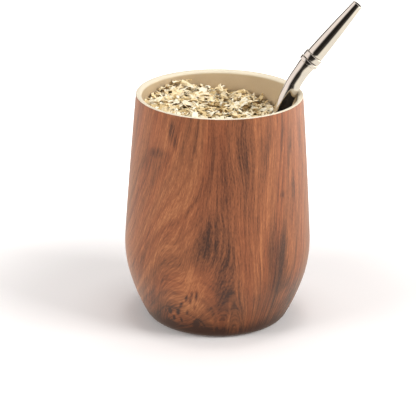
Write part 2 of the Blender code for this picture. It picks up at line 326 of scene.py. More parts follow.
@cache
def fibre_group() -> NodeTree:
    """Fibres that run along Z, as values from 0 to 1, with their width and length in millimetres."""
    group = SharedGroup("fibres", {"Width": 1.0, "Length": 10.0}, "Place")
    graph, inside = group.graph, group.inside
    side, deep, up = graph.parts(inside["Place"])
    thin = [graph.maths("DIVIDE", part, inside["Width"]) for part in (side, deep)]
    return group.finish(graph.noise(graph.joined(*thin, graph.maths("DIVIDE", up, inside["Length"])), 1.0))


def fibres(graph: Graph, place: Feed, width: float, length: float) -> Socket:
    """Fibres of a width and length in millimetres, as values from 0 to 1."""
    feeds = {"Place": place, "Width": width, "Length": length}
    return graph.add("Group", feeds, node_tree=fibre_group()).outputs[0]


@cache
def mottle_group() -> NodeTree:
    """Soft blotches with fine grit in them, as values from 0 to 1, with their sizes in millimetres."""
    group = SharedGroup("mottle", {"Blotch": 5.0, "Grit": 0.5, "Share": 0.4}, "Place")
    graph, inside = group.graph, group.inside
    details = {"Blotch": 3.0, "Grit": 2.0}
    scales = {name: graph.maths("DIVIDE", 1.0, inside[name]) for name in details}
    coarse, fine = (graph.noise(inside["Place"], scales[name], details[name]) for name in details)
    mixed = graph.add("Mix", {0: inside["Share"], 2: coarse, 3: fine}, data_type="FLOAT")
    return group.finish(mixed.outputs[0])


def mottle(graph: Graph, place: Feed, blotch: float, grit: float, share: float) -> Socket:
    """Blotches and grit of sizes in millimetres, with the grit's share, as values from 0 to 1."""
    feeds = {"Place": place, "Blotch": blotch, "Grit": grit, "Share": share}
    return graph.add("Group", feeds, node_tree=mottle_group()).outputs[0]


@cache
def figure_group() -> NodeTree:
    """A soft long patch on the print, as a mask: its middle, half width and half length in millimetres, and
    its lean as the way it moves across for each millimetre up."""
    names = ("Across", "Up", "Middle Across", "Middle Up", "Lean", "Half Width", "Half Length")
    group = SharedGroup("print_figure", dict.fromkeys(names, 1.0))
    graph, inside = group.graph, group.inside
    rise = graph.maths("SUBTRACT", inside["Up"], inside["Middle Up"])
    shift = graph.maths("SUBTRACT", inside["Across"], inside["Middle Across"])
    shift = graph.maths("SUBTRACT", shift, graph.maths("MULTIPLY", rise, inside["Lean"]))
    halves = ((shift, "Half Width"), (rise, "Half Length"))
    shares = [graph.maths("DIVIDE", way, inside[half]) for way, half in halves]
    reach = graph.maths("SQRT", graph.maths("ADD", *(graph.maths("POWER", share, 2.0) for share in shares)))
    return group.finish(graph.spread(reach, FIGURE_OUTER, FIGURE_INNER))


@dataclass(frozen=True)
class Figure:
    """A patch of the print: its place and size in millimetres, and how much lighter it makes the wood."""

    across: float
    up: float
    half_width: float
    half_length: float
    lean: float
    tone: float

    def mask(self, graph: Graph, across: Feed, up: Feed) -> Socket:
        """Where the patch is on the print, from 0 to 1."""
        feeds = {"Across": across, "Up": up, "Middle Across": self.across, "Middle Up": self.up}
        feeds |= {"Lean": self.lean, "Half Width": self.half_width, "Half Length": self.half_length}
        return graph.add("Group", feeds, node_tree=figure_group()).outputs[0]


@dataclass(frozen=True)
class Fibre:
    """A layer of the print's fibres: their width and length in millimetres, and their contrast."""

    width: float
    length: float
    contrast: float


def new_surface(name: str) -> tuple[Material, Graph, Node]:
    """Makes an empty material.

    Args:
        name: The material's name.

    Returns:
        The material, its graph and its Principled BSDF.
    """
    material = bpy.data.materials.new(name)
    material.use_nodes = True
    return material, Graph(material.node_tree), material.node_tree.nodes["Principled BSDF"]


def shade_in_mirrors(graph: Graph, place: Feed) -> Socket:
    """Painted shade for mirrored rays only, so that the straw's right side mirrors shade.

    How dark a point in the cup looks to a mirrored ray.

    Args:
        graph: Where the nodes go.
        place: The point, in millimetres.

    Returns:
        The share of shade, which is 0 for every other ray.
    """
    side, deep, up = graph.parts(place)
    to_right, to_back = SHADE_WAY
    aside = graph.maths("MULTIPLY_ADD", deep, to_back, graph.maths("MULTIPLY", side, to_right))
    below = graph.maths("SUBTRACT", CUP_HEIGHT / MM, up)
    shaded = graph.maths("MULTIPLY", graph.spread(aside, *SHADE_ASIDE), graph.spread(below, *SHADE_BELOW))
    return graph.maths("MULTIPLY", graph.add("LightPath").outputs["Is Glossy Ray"], shaded)


@dataclass(frozen=True)
class WoodPrint:
    """A wood figure printed round the cup under a satin coat.

    The grain runs down the cup, sweeps to the left below, and folds into arches at the front. It is drawn on
    a cylinder, so that it has no seam. Towards the foot it is darkened by painted shade. Lengths are in
    millimetres, and a tone is 0 for dark and 1 for light.
    """

    ring: float = 44.5
    dark: Colour = (74, 48, 38)
    middle: Colour = (166, 102, 67)
    light: Colour = (221, 151, 99)
    warm: Colour = (176, 112, 96)
    warm_size: Point = (9.0, 120.0)
    warm_share: float = 0.35
    # The foot colour is painted shade, mixed over the print towards the bottom of the cup.
    foot: Colour = (66, 36, 22)
    foot_shade_top: float = 9.0
    foot_shade_share: float = 0.85
    # The shade values darken the tone towards the foot as painted shade.
    shade_top: float = 13.0
    shade: float = -0.42
    roughness: float = 0.44
    dark_roughness: float = 0.49
    coat: float = 0.62
    coat_roughness: float = 0.42
    coat_rise: Point = (2.0, 26.0)
    arch_at: float = 3.0
    arch_width: float = 25.0
    arch_lean: Point = (-0.9, 0.1)
    right_lean: Point = (8.0, 38.0)
    front: Point = (1.4, 2.7)
    fall: Point = (0.0042, 0.18)
    wander: float = 6.0
    wander_scale: float = 0.045
    wander_squash: float = 0.35
    fine_share: float = 0.55
    base_tone: float = 0.30
    band: Fibre = Fibre(11.0, 150.0, 0.30)
    streak: Fibre = Fibre(2.3, 60.0, 0.62)
    thread: Fibre = Fibre(0.75, 22.0, 0.60)
    hair: Fibre = Fibre(0.34, 5.0, 0.60)
    pore: Fibre = Fibre(0.26, 1.5, 0.60)
    growth_lines: float = 7.0
    growth_waver: float = 0.8
    growth_width: float = 0.40
    growth_shade: float = -0.11
    tear: float = 3.5
    relief_size: Point = (0.35, 5.0)
    relief: Point = (0.12, 0.05)
    figures: tuple[Figure, ...] = (
        Figure(8.0, 98.0, 11.0, 26.0, 0.0, -0.20),
        Figure(3.0, 64.0, 15.0, 34.0, 0.0, -0.11),
        # A broad dark patch low on the right, which makes the cup darker towards the bottom.
        Figure(42.0, 16.0, 26.0, 16.0, 0.0, -0.27),
        Figure(-5.5, 52.0, 6.0, 15.0, 0.12, -0.25),
        Figure(3.8, 36.0, 5.0, 17.0, -0.03, -0.28),
        Figure(4.0, 20.0, 10.0, 11.0, 0.0, -0.20),
        Figure(31.5, 40.0, 7.2, 19.0, -0.06, -0.34),
        Figure(-26.0, 104.0, 1.7, 6.5, 0.05, -0.40),
        Figure(-23.0, 99.0, 1.1, 4.0, 0.0, -0.26),
        Figure(-33.5, 91.5, 7.0, 2.6, 0.5, -0.20),
        Figure(-41.5, 86.0, 2.8, 5.0, 0.5, -0.20),
        Figure(40.5, 93.0, 1.5, 15.0, 0.10, -0.30),
        Figure(43.5, 74.0, 1.4, 7.5, 0.0, -0.26),
        Figure(34.5, 72.0, 1.3, 1.8, 0.0, -0.30),
        Figure(25.0, 95.0, 2.0, 16.0, 0.12, -0.20),
        Figure(36.0, 101.0, 1.3, 12.0, 0.10, -0.16),
        # A broad dark patch low on the left, which makes the cup darker towards the bottom.
        Figure(-30.0, 12.0, 24.0, 11.0, 0.0, -0.28),
        Figure(-34.0, 28.0, 9.0, 12.0, 0.3, -0.09),
        Figure(33.0, 66.0, 6.0, 30.0, 0.0, -0.07),
        Figure(-12.0, 33.0, 10.0, 7.0, 0.0, 0.24),
        Figure(-33.0, 99.0, 9.0, 9.0, 0.0, 0.14),
        Figure(-24.0, 68.0, 7.0, 24.0, 0.55, 0.10),
        Figure(23.0, 55.0, 3.0, 28.0, 0.05, 0.12),
        Figure(37.0, 20.0, 5.0, 4.0, 0.0, 0.16),
        Figure(2.0, 11.0, 7.0, 4.0, 0.0, 0.12),
        Figure(-16.0, 18.0, 10.0, 9.0, 0.8, 0.34),
    )
    claws: tuple[Figure, ...] = (
        Figure(-26.0, 14.0, 1.1, 2.1, 0.0, -0.62),
        Figure(-24.5, 10.5, 1.0, 1.6, 0.3, -0.56),
        Figure(-21.0, 14.5, 1.4, 1.9, 0.4, -0.66),
        Figure(-20.0, 10.0, 0.9, 1.4, 0.0, -0.46),
        Figure(-18.3, 19.3, 1.0, 2.3, 0.5, -0.54),
        Figure(-15.0, 23.5, 0.8, 2.2, 0.3, -0.50),
        Figure(-13.0, 22.0, 0.8, 2.6, 0.1, -0.50),
        Figure(-12.0, 26.0, 0.7, 1.8, 0.1, -0.44),
        Figure(-9.8, 26.0, 0.8, 2.8, 0.1, -0.54),
        Figure(-11.0, 19.0, 0.9, 1.6, 0.3, -0.44),
        Figure(-15.5, 15.5, 0.8, 1.6, 0.3, -0.40),
        Figure(-11.5, 8.5, 1.8, 3.0, 0.2, -0.40),
        Figure(-28.5, 6.0, 3.0, 2.6, 0.2, -0.36),
    )

    def build(self) -> Material:
        """Makes the material."""
        material, graph, shader = new_surface("printed_wood")
        side, deep, up = graph.parts(graph.place_in_mm())
        angle = graph.maths("ARCTAN2", side, graph.maths("MULTIPLY", deep, -1.0))
        across = graph.maths("MULTIPLY", angle, self.ring)
        grain, fine = (self.grain_place(graph, angle, across, up, share) for share in (1.0, self.fine_share))
        tone = self.tone(graph, grain, fine, across, up)
        colour = graph.tinted(tone, [(0.0, self.dark), (0.5, self.middle), (1.0, self.light)])
        warmth = graph.spread(fibres(graph, grain, *self.warm_size), 0.35, 0.65, 0.0, 0.5)
        warmed = graph.mixed(warmth, colour, shown(*self.warm), "OVERLAY")
        printed = graph.mixed(self.warm_share, colour, warmed)
        # Painted shade: the print turns towards the dark foot colour near the bottom.
        low = graph.spread(up, 0.0, self.foot_shade_top, self.foot_shade_share, 0.0)
        feeds = {
            "Base Color": graph.mixed(low, printed, shown(*self.foot)),
            "Roughness": graph.spread(tone, 0.1, 0.9, self.dark_roughness, self.roughness),
            "Specular IOR Level": 0.1,
            "Coat Weight": graph.spread(up, *self.coat_rise, 0.0, self.coat),
            "Coat Roughness": self.coat_roughness,
            "Normal": graph.bump(fibres(graph, fine, *self.relief_size), *self.relief),
        }
        graph.dress(shader, feeds)
        return material

    def grain_place(self, graph: Graph, angle: Feed, across: Feed, up: Feed, share: float) -> Socket:
        """The place on the unswept grain, so that what runs straight down there follows the sweep on the cup.

        Args:
            graph: Where the nodes go.
            angle: The angle round the cup, 0 at the front.
            across: The way round the cup from the front, in millimetres.
            up: The height in millimetres.
            share: How much of the sweep it takes, from 0 to 1.

        Returns:
            A place on a cylinder, in millimetres.
        """
        offset = graph.maths("DIVIDE", graph.maths("SUBTRACT", across, self.arch_at), self.arch_width)
        lean = graph.maths("MULTIPLY_ADD", graph.maths("TANH", offset), *self.arch_lean)
        lean = graph.maths("ADD", lean, graph.spread(across, *self.right_lean))
        front = graph.spread(graph.maths("ABSOLUTE", angle), *self.front, share, 0.0)
        lean = graph.maths("MULTIPLY", lean, front)
        drop = graph.maths("SUBTRACT", CUP_HEIGHT / MM, up)
        fall = graph.maths("MULTIPLY", drop, graph.maths("MULTIPLY_ADD", drop, *self.fall))
        around = self.on_ring(graph, across, graph.maths("MULTIPLY", up, self.wander_squash))
        wavy = graph.noise(around, self.wander_scale, 1.0)
        wander = graph.maths("MULTIPLY_ADD", wavy, 2 * self.wander, -self.wander)
        shifted = graph.maths("ADD", across, graph.maths("MULTIPLY_ADD", lean, fall, wander))
        return self.on_ring(graph, shifted, up)

    def on_ring(self, graph: Graph, across: Feed, up: Feed) -> Socket:
        """A way round the cup and a height as a place on a cylinder."""
        angle = graph.maths("DIVIDE", across, self.ring)
        side = graph.maths("MULTIPLY", graph.maths("SINE", angle), self.ring)
        front = graph.maths("MULTIPLY", graph.maths("COSINE", angle), -self.ring)
        return graph.joined(side, front, up)

    def tone(self, graph: Graph, grain: Feed, fine: Feed, across: Feed, up: Feed) -> Socket:
        """How light the wood is, from 0 to 1: bands, growth lines, fibres, the figures, and painted shade at
        the foot.

        Args:
            graph: Where the nodes go.
            grain: The place on the grain.
            fine: The place on the less swept grain of the fine fibres.
            across: The way round the cup from the front, in millimetres.
            up: The height in millimetres.

        Returns:
            The tone.
        """
        layers = ((self.streak, grain), (self.thread, fine), (self.hair, fine), (self.pore, fine))
        bands = fibres(graph, grain, self.band.width, self.band.length)
        values = [fibres(graph, place, layer.width, layer.length) for layer, place in layers]
        streaks, threads = values[:2]
        waver = graph.maths("MULTIPLY", streaks, self.growth_waver)
        steps = graph.maths("MULTIPLY_ADD", bands, self.growth_lines, waver)
        fold = graph.maths("PINGPONG", steps, 1.0)
        lines = graph.spread(fold, 0.0, self.growth_width, self.growth_shade, 0.0)
        tone = graph.maths("MULTIPLY_ADD", bands, self.band.contrast, self.base_tone)
        for value, (layer, _) in zip(values, layers):
            contrast = layer.contrast
            tone = graph.maths("ADD", tone, graph.maths("MULTIPLY_ADD", value, contrast, -contrast / 2))
        tone = graph.maths("ADD", tone, lines)
        torn = graph.maths("ADD", across, graph.maths("MULTIPLY_ADD", threads, 2 * self.tear, -self.tear))
        for figures, place in ((self.figures, torn), (self.claws, across)):
            for figure in figures:
                tone = graph.maths("MULTIPLY_ADD", figure.mask(graph, place, up), figure.tone, tone)
        # Painted shade: the tone drops towards the foot.
        shade = graph.spread(up, 1.0, self.shade_top, self.shade, 0.0)
        return graph.maths("ADD", tone, shade, clamp=True)


@dataclass(frozen=True)
class LiningPaint:
    """The cream coat of the lining, satin and a little uneven.

    The lip is paler as a painted highlight, and mirrored rays see painted shade near the front and right.
    """

    pale: Colour = (210, 189, 157)
    shade: Colour = (201, 178, 144)
    # The lip colour below is a painted highlight: the top of the lip is lighter where it faces up into the
    # light.
    lip: Colour = (234, 222, 198)
    lip_highlight_depth: float = 2.0
    roughness: Point = (0.50, 0.40)
    peel_scale: float = 1.6

    def build(self) -> Material:
        """Makes the material."""
        material, graph, shader = new_surface("cream_coat")
        place = graph.place_in_mm()
        uneven = mottle(graph, place, 14.0, 0.5, 0.35)
        coat = graph.tinted(uneven, [(0.3, self.shade), (0.7, self.pale)])
        top = CUP_HEIGHT / MM
        # Painted highlight: the coat turns paler over the top of the lip.
        lip_highlight = graph.spread(graph.parts(place)[2], top - self.lip_highlight_depth, top - 0.5 * self.lip_highlight_depth)
        coat = graph.mixed(lip_highlight, coat, shown(*self.lip))
        feeds = {
            # Painted shade, seen only by mirrored rays, over the front and right of the lining.
            "Base Color": graph.mixed(shade_in_mirrors(graph, place), coat, MIRRORED_SHADE),
            "Roughness": graph.spread(uneven, 0.3, 0.7, *self.roughness),
            "Normal": graph.bump(graph.noise(place, self.peel_scale), 0.10, 0.08),
        }
        graph.dress(shader, feeds)
        return material


@dataclass(frozen=True)
class PolishedSteel:
    """Mirror-polished steel with faint hairlines round it, and painted shade in the mouthpiece's bore."""

    colour: Colour = (228, 221, 210)
    cool: Colour = (214, 210, 206)
    # The bore colour is painted shade, for the dark inside of the mouthpiece.
    bore: Colour = (44, 40, 36)
    roughness: float = 0.04

    def build(self) -> Material:
        """Makes the material."""
        material, graph, shader = new_surface("polished_steel")
        place = graph.place_in_mm()
        hairs = fibres(graph, place, 0.9, 0.12)
        wear = mottle(graph, place, 6.0, 0.4, 0.3)
        plain = graph.tinted(wear, [(0.35, self.cool), (0.65, self.colour)])
        rough = graph.maths("MULTIPLY_ADD", wear, 0.06, self.roughness)
        feeds = {
            # Painted shade where the points lie inside the bore.
            "Base Color": graph.mixed(graph.attribute(BORE_SHADE), plain, shown(*self.bore)),
            "Metallic": 1.0,
            "Roughness": graph.maths("MULTIPLY_ADD", hairs, 0.03, rough),
            "Normal": graph.bump(hairs, 0.04, 0.02),
        }
        graph.dress(shader, feeds)
        return material


@dataclass(frozen=True)
class DriedLeaf:
    """Dried leaf or stem, each piece with its own tone between the stops, and with painted shade that
    mirrored rays see.
    """

    name: str
    stops: Stops
    blotch: float = 2.2
    unevenness: float = 0.30
    relief: float = 0.12
    gloss: float = 0.12
    roughness: Point = (0.92, 0.70)

    def build(self) -> Material:
        """Makes the material."""
        material, graph, shader = new_surface(self.name)
        place = graph.place_in_mm()
        mottled = mottle(graph, place, self.blotch, 0.35, 0.4)
        uneven = graph.maths("MULTIPLY_ADD", mottled, 2 * self.unevenness, -self.unevenness)
        tone = graph.maths("ADD", graph.attribute(TONE), uneven, clamp=True)
        colour = graph.tinted(tone, self.stops)
        feeds = {
            # Painted shade, seen only by mirrored rays, over the front and right of the heap.
            "Base Color": graph.mixed(shade_in_mirrors(graph, place), colour, MIRRORED_SHADE),
            "Roughness": graph.spread(mottled, 0.3, 0.7, *self.roughness),
            "Specular IOR Level": self.gloss,
            "Normal": graph.bump(mottled, 0.5, self.relief),
        }
        graph.dress(shader, feeds)
        return material


LEAF_STOPS = (
    (0.00, (72, 50, 28)),
    (0.20, (132, 102, 62)),
    (0.42, (210, 182, 130)),
    (0.68, (244, 222, 176)),
    (1.00, (255, 247, 224)),
)
STEM_STOPS = (
    (0.00, (120, 88, 50)),
    (0.35, (196, 164, 114)),
    (0.70, (238, 216, 168)),
    (1.00, (252, 240, 208)),
)
# The core's dark colours are dust and painted shade, showing in the gaps between the pieces.
DUST_AND_SHADE_STOPS = ((0.00, (38, 24, 11)), (0.50, (78, 53, 26)), (1.00, (126, 95, 52)))


def face_outwards(bm: BMesh) -> None:
    """Turns a closed shape's faces so that they point out."""
    bmesh.ops.recalc_face_normals(bm, faces=bm.faces[:])
    if bm.calc_volume(signed=True) < 0:
        bmesh.ops.reverse_faces(bm, faces=bm.faces[:])


def new_piece(name: str, bm: BMesh, material: Material, sharp: float = 40.0) -> Piece:
    """Makes an object at the origin, smooth except at its sharp edges.

    Args:
        name: The piece's name.
        bm: Its shape in the frame's coordinates, which is freed.
        material: Its finish.
        sharp: The angle in degrees past which an edge is sharp.

    Returns:
        The object.
    """
    mesh = bpy.data.meshes.new(name)
    bm.to_mesh(mesh)
    bm.free()
    mesh.shade_smooth()
    mesh.set_sharp_from_angle(angle=math.radians(sharp))
    mesh.materials.append(material)
    piece = bpy.data.objects.new(name, mesh)
    bpy.context.scene.collection.objects.link(piece)
    return piece


def give_values(piece: Piece, name: str, values: Sequence[float]) -> None:
    """Lets each of a piece's points carry a value."""
    piece.data.attributes.new(name, "FLOAT", "POINT").data.foreach_set("value", values)


def settle(piece: Piece, slot: str, *nodes: str) -> None:
    """Lets a piece ride on the cup, and hides the nodes that it replaces."""
    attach(piece, BODY)
    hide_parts(*nodes)
    log.info("%s: %d faces, for %s", piece.name, len(piece.data.polygons), ", ".join(nodes))


def turned(outline: Sequence[Point], sides: int, matrix: Matrix | None = None) -> BMesh:
    """Turns an outline round Z.

    Args:
        outline: Points (radius, height). One on the axis at each end closes the shape there, and otherwise
            the last point joins the first.
        sides: The number of steps round.
        matrix: Where the shape goes, if not at the origin.

    Returns:
        The closed shape.
    """
    bm = bmesh.new()
    points = [bm.verts.new((radius, 0, height)) for radius, height in outline]
    edges = [bm.edges.new(pair) for pair in zip(points, points[1:])]
    if outline[0][0] > 0:
        edges.append(bm.edges.new((points[-1], points[0])))
    round_z = {"cent": (0, 0, 0), "axis": (0, 0, 1), "angle": TURN}
    bmesh.ops.spin(bm, geom=points + edges, **round_z, steps=sides, use_merge=True)
    bmesh.ops.remove_doubles(bm, verts=bm.verts[:], dist=1e-7)
    face_outwards(bm)
    if matrix:
        bm.transform(matrix)
    return bm


@dataclass
class WoodShell:
    """The outer shell, from its flat foot up to the lip."""

    pitch: float = 0.0025
    sides: int = 192
    seam: float = 0.00004
    finish: WoodPrint = field(default_factory=WoodPrint)

    def build(self) -> None:
        """Makes the shell."""
        top = CUP_HEIGHT - LIP_COVER - self.seam
        back = inner_wall(LINING_THICKNESS + GAP)
        outside = OUTSIDE.outline(top, self.pitch)
        inside = back.outline(top, 3 * self.pitch)
        outline = [(0.0, 0.0), *outside, *reversed(inside), (0.0, back.base())]
        piece = new_piece("wood_shell", turned(outline, self.sides), self.finish.build())
        settle(piece, "wood_finish", "cup_body")


@dataclass
class CreamLining:
    """The lining, with its floor and the lip, which slopes down inwards from a ridge near its outer edge."""

    lip_drop: float = 0.0015
    lip_edge: float = 0.0005
    lip_steps: int = 12
    pitch: float = 0.0030
    sides: int = 192
    finish: LiningPaint = field(default_factory=LiningPaint)

    def lip(self) -> list[Point]:
        """Points over the lip, from its inner side over the ridge to its lower edge on the outside."""
        ridge, quarter = MOUTH_RADIUS - self.lip_edge, math.pi / 2
        slope = [quarter * step / self.lip_steps for step in range(self.lip_steps)]
        width, low = LIP_WIDTH - self.lip_edge, CUP_HEIGHT - self.lip_drop
        points = [(ridge - width * math.cos(turn), low + self.lip_drop * math.sin(turn)) for turn in slope]
        end = math.asin((self.lip_edge - LIP_COVER) / self.lip_edge)
        edge = [blended(quarter, end, step / 6) for step in range(7)]
        low = CUP_HEIGHT - self.lip_edge
        across = [ridge + self.lip_edge * math.cos(turn) for turn in edge]
        return points + [(place, low + self.lip_edge * math.sin(turn)) for place, turn in zip(across, edge)]

    def build(self) -> None:
        """Makes the lining."""
        wall, back = inner_wall(), inner_wall(LINING_THICKNESS)
        inside = wall.outline(CUP_HEIGHT - self.lip_drop, self.pitch)[:-1]
        outside = back.outline(CUP_HEIGHT - LIP_COVER, 2 * self.pitch)
        outline = [(0.0, wall.base()), *inside, *self.lip(), *reversed(outside), (0.0, back.base())]
        piece = new_piece("cream_lining", turned(outline, self.sides), self.finish.build())
        settle(piece, "cream_lining", "cup_lining")


@dataclass(frozen=True)
class StrawLine:
    """The straw's centre line: straight up from the floor, one soft bend at the lip, then straight on.

    A distance along it is measured from the start of the bend.
    """

    bend_start: Vector = Vector((0.0310, 0.0021, 0.1075))
    lower_tilt: float = math.radians(20.7)
    upper_tilt: float = math.radians(37.7)
    bend_length: float = 0.0209
    shoulder: Point = (0.0060, 0.0098)
    neck_shift: float = 0.00025

    def frame(self, along: float) -> Matrix:
        """The matrix that sets a piece made along +Z on the line, or beside it past the shoulder."""
        turn = (self.upper_tilt - self.lower_tilt) / self.bend_length
        on_bend = min(max(along, 0.0), self.bend_length)
        tilt = self.lower_tilt + turn * on_bend
        across = (math.cos(self.lower_tilt) - math.cos(tilt)) / turn + (along - on_bend) * math.sin(tilt)
        up = (math.sin(tilt) - math.sin(self.lower_tilt)) / turn + (along - on_bend) * math.cos(tilt)
        aside = Matrix.Translation((-self.neck_shift * eased(*self.shoulder, along), 0, 0))
        place = Matrix.Translation(self.bend_start + Vector((across, 0, up)))
        return place @ Matrix.Rotation(tilt, 4, "Y") @ aside

    def distance(self, point: Vector) -> float:
        """How far a point in the cup is from the lower straight part."""
        direction = Vector((math.sin(self.lower_tilt), 0, math.cos(self.lower_tilt)))
        offset = point - self.bend_start
        return (offset - direction * offset.dot(direction)).length


@dataclass
class Bombilla:
    """The steel straw: a tube wide below its shoulder, a collar of two rings, and a tapered mouthpiece."""

    line: StrawLine = field(default_factory=StrawLine)
    sides: int = 72
    tube_radius: float = 0.00375
    neck_radius: float = 0.0036
    flare: Point = (0.0150, 0.0206)
    flare_radius: float = 0.0039
    tube_wall: float = 0.0005
    step: float = 0.0006
    spigot_radius: float = 0.00275
    spigot_end: float = 0.0300
    lower_ring: RingSize = (0.0210, 0.0230, 0.00475)
    upper_ring: RingSize = (0.0233, 0.0263, 0.0046)
    ring_bevel: float = 0.00045
    mouthpiece_start: float = 0.0266
    mouthpiece_base: float = 0.0040
    mouthpiece_tip: float = 0.0024
    mouthpiece_power: float = 1.4
    mouthpiece_steps: int = 30
    seat_gap: float = 0.00025
    seat_bevel: Point = (0.0002, 0.0001)
    tip_along: float = 0.0577
    finish: PolishedSteel = field(default_factory=PolishedSteel)

    def stem_radius(self, along: float) -> float:
        """Outer radius of the stem below the collar."""
        shoulder = (self.tube_radius - self.neck_radius) * eased(*self.line.shoulder, along)
        flare = (self.flare_radius - self.neck_radius) * eased(*self.flare, along)
        return self.tube_radius - shoulder + flare

    def lofted(self, stations: Sequence[Point]) -> BMesh:
        """A tube through a closed round of rings on the straw's line, each given as (along, radius)."""
        bm = bmesh.new()
        along, radius = stations[0]
        place = self.line.frame(along)
        bmesh.ops.create_circle(bm, segments=self.sides, radius=radius, matrix=place)
        edges = bm.edges[:]
        for along, next_radius in [*stations[1:], stations[0]]:
            made = bmesh.ops.extrude_edge_only(bm, edges=edges)["geom"]
            ring = {item for item in made if isinstance(item, bmesh.types.BMVert)}
            edges = [item for item in made if isinstance(item, bmesh.types.BMEdge)]
            edges = [edge for edge in edges if ring.issuperset(edge.verts)]
            step = self.line.frame(along) @ Matrix.Scale(next_radius / radius, 4) @ place.inverted()
            bmesh.ops.transform(bm, matrix=step, verts=list(ring))
            place, radius = self.line.frame(along), next_radius
        bmesh.ops.remove_doubles(bm, verts=bm.verts[:], dist=1e-7)
        face_outwards(bm)
        return bm

    def build_stem(self, steel: Material) -> None:
        """The bent tube, from the cup's floor to the spigot inside the mouthpiece."""
        line = self.line
        low_end = inner_wall().base() + GAP + self.tube_radius * math.sin(line.lower_tilt)
        start = (low_end - line.bend_start.z) / math.cos(line.lower_tilt)
        collar = self.lower_ring[0] - 0.05 * MM
        count = math.ceil(collar / self.step)
        marks = [start, start / 2, -4 * self.step, *(collar * step / count for step in range(count + 1))]
        outside = [(mark, self.stem_radius(mark)) for mark in marks]
        spigot = [(collar, self.spigot_radius), (self.spigot_end, self.spigot_radius)]
        bore = [(mark, radius - self.tube_wall) for mark, radius in outside if mark < collar / 2]
        spigot_bore = self.spigot_radius - self.tube_wall
        stations = outside + spigot + [(self.spigot_end, spigot_bore), (collar, spigot_bore)] + bore[::-1]
        settle(new_piece("straw_stem", self.lofted(stations), steel), "polished_steel", "bombilla_stem")

    def build_ring(self, name: str, node: str, size: RingSize, steel: Material) -> None:
        """One ring of the collar, with rounded edges.

        Args:
            name: The piece's name.
            node: The node that it stands for.
            size: Where it starts and ends along the straw, and its radius.
            steel: Its finish.
        """
        start, end, radius = size
        bore, length, bevel = self.spigot_radius + GAP, end - start, self.ring_bevel
        turns = [math.radians(angle) for angle in range(0, 91, 15)]
        low = [(radius - bevel + bevel * math.sin(turn), bevel - bevel * math.cos(turn)) for turn in turns]
        high = [(across, length - up) for across, up in reversed(low)]
        outline = [(bore, 0.0), *low, *high, (bore, length)]
        piece = new_piece(name, turned(outline, self.sides, self.line.frame(start)), steel)
        settle(piece, "polished_steel", node)

    def mouthpiece_radius(self, share: float) -> float:
        """Outer radius of the mouthpiece, full near its base and drawn in towards the tip."""
        return blended(self.mouthpiece_base, self.mouthpiece_tip, share**self.mouthpiece_power)

    def build_mouthpiece(self, steel: Material) -> None:
        """The tapered tube that the drinker's lips close on, with a rounded rim at its tip."""
        length = self.tip_along - self.mouthpiece_start
        socket = self.spigot_end + GAP - self.mouthpiece_start
        seat = self.spigot_radius + GAP
        half = self.tube_wall / 2
        shares = [step / self.mouthpiece_steps for step in range(self.mouthpiece_steps + 1)]
        reach = length - half
        outside = [(self.mouthpiece_radius(share), reach * share) for share in shares]
        rim = [math.radians(angle) for angle in range(30, 180, 30)]
        tip = self.mouthpiece_tip - half
        rounded = [(tip + half * math.cos(turn), reach + half * math.sin(turn)) for turn in rim]
        bore = [(self.mouthpiece_radius(share) - self.tube_wall, reach * share) for share in shares]
        inside = [(min(radius, seat), height) for radius, height in bore if height > socket]
        across, up = self.seat_bevel
        base = [(self.mouthpiece_base - across, -self.seat_gap)]
        base += [(self.mouthpiece_base - across / 4, up - self.seat_gap)]
        outline = [(seat, -self.seat_gap), *base, *outside, *rounded, *reversed(inside), (seat, socket)]
        place = self.line.frame(self.mouthpiece_start)
        piece = new_piece("straw_mouthpiece", turned(outline, self.sides, place), steel)
        points = [place.inverted() @ vert.co for vert in piece.data.vertices]
        outer = [self.mouthpiece_radius(min(max(point.z / reach, 0.0), 1.0)) for point in points]
        depths = [radius - point.xy.length for radius, point in zip(outer, points)]
        # Marks the points inside the bore, which the finish darkens with painted shade.
        give_values(piece, BORE_SHADE, [float(depth > 0.8 * self.tube_wall) for depth in depths])
        settle(piece, "polished_steel", "bombilla_mouthpiece")

    def build(self) -> None:
        """Makes the straw."""
        steel = self.finish.build()
        self.build_stem(steel)
        self.build_ring("straw_lower_ring", "bombilla_lower_ring", self.lower_ring, steel)
        self.build_ring("straw_upper_ring", "bombilla_upper_ring", self.upper_ring, steel)
        self.build_mouthpiece(steel)


class ChipKind(Enum):
    """The kinds of leaf chip, each with its lengths and widths in millimetres, its curl and its twist."""

    BROAD = ((2.9, 5.2), (1.6, 3.0), 0.9, 0.3)
    CURLED = ((2.4, 4.6), (1.1, 2.1), 1.8, 0.6)
    SHRED = ((2.4, 6.0), (0.5, 1.1), 1.0, 0.9)
    CRUMB = ((1.0, 2.4), (0.8, 1.6), 0.8, 0.3)
    FLAKE = ((6.0, 8.0), (3.0, 4.5), 0.7, 0.20)


